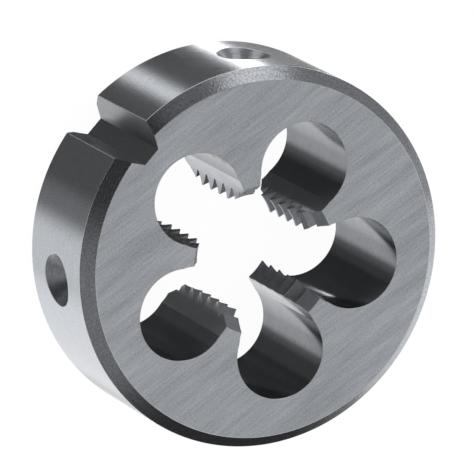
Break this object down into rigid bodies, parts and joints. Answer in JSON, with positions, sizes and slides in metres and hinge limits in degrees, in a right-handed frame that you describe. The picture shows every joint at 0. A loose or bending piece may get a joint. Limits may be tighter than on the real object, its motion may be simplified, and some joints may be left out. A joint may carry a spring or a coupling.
{
  "type": "threading die",
  "caption": "Round adjustable threading die: a steel disc with chip holes opening into a threaded cutting bore, a V notch and conical screw seats in the rim.",
  "frame": {"origin": "centre of the back face, on the thread's axis", "axes": "+Z along the thread's axis to the front face, -Y towards the adjusting notch, and the die lies on its back face"},
  "size_m": [0.038, 0.0379, 0.014],
  "materials": {
    "ground_steel": "ground, with fine straight grinding lines"
  },
  "bodies": {
    "root": {"die": "ground_steel"}
  },
  "joints": []
}
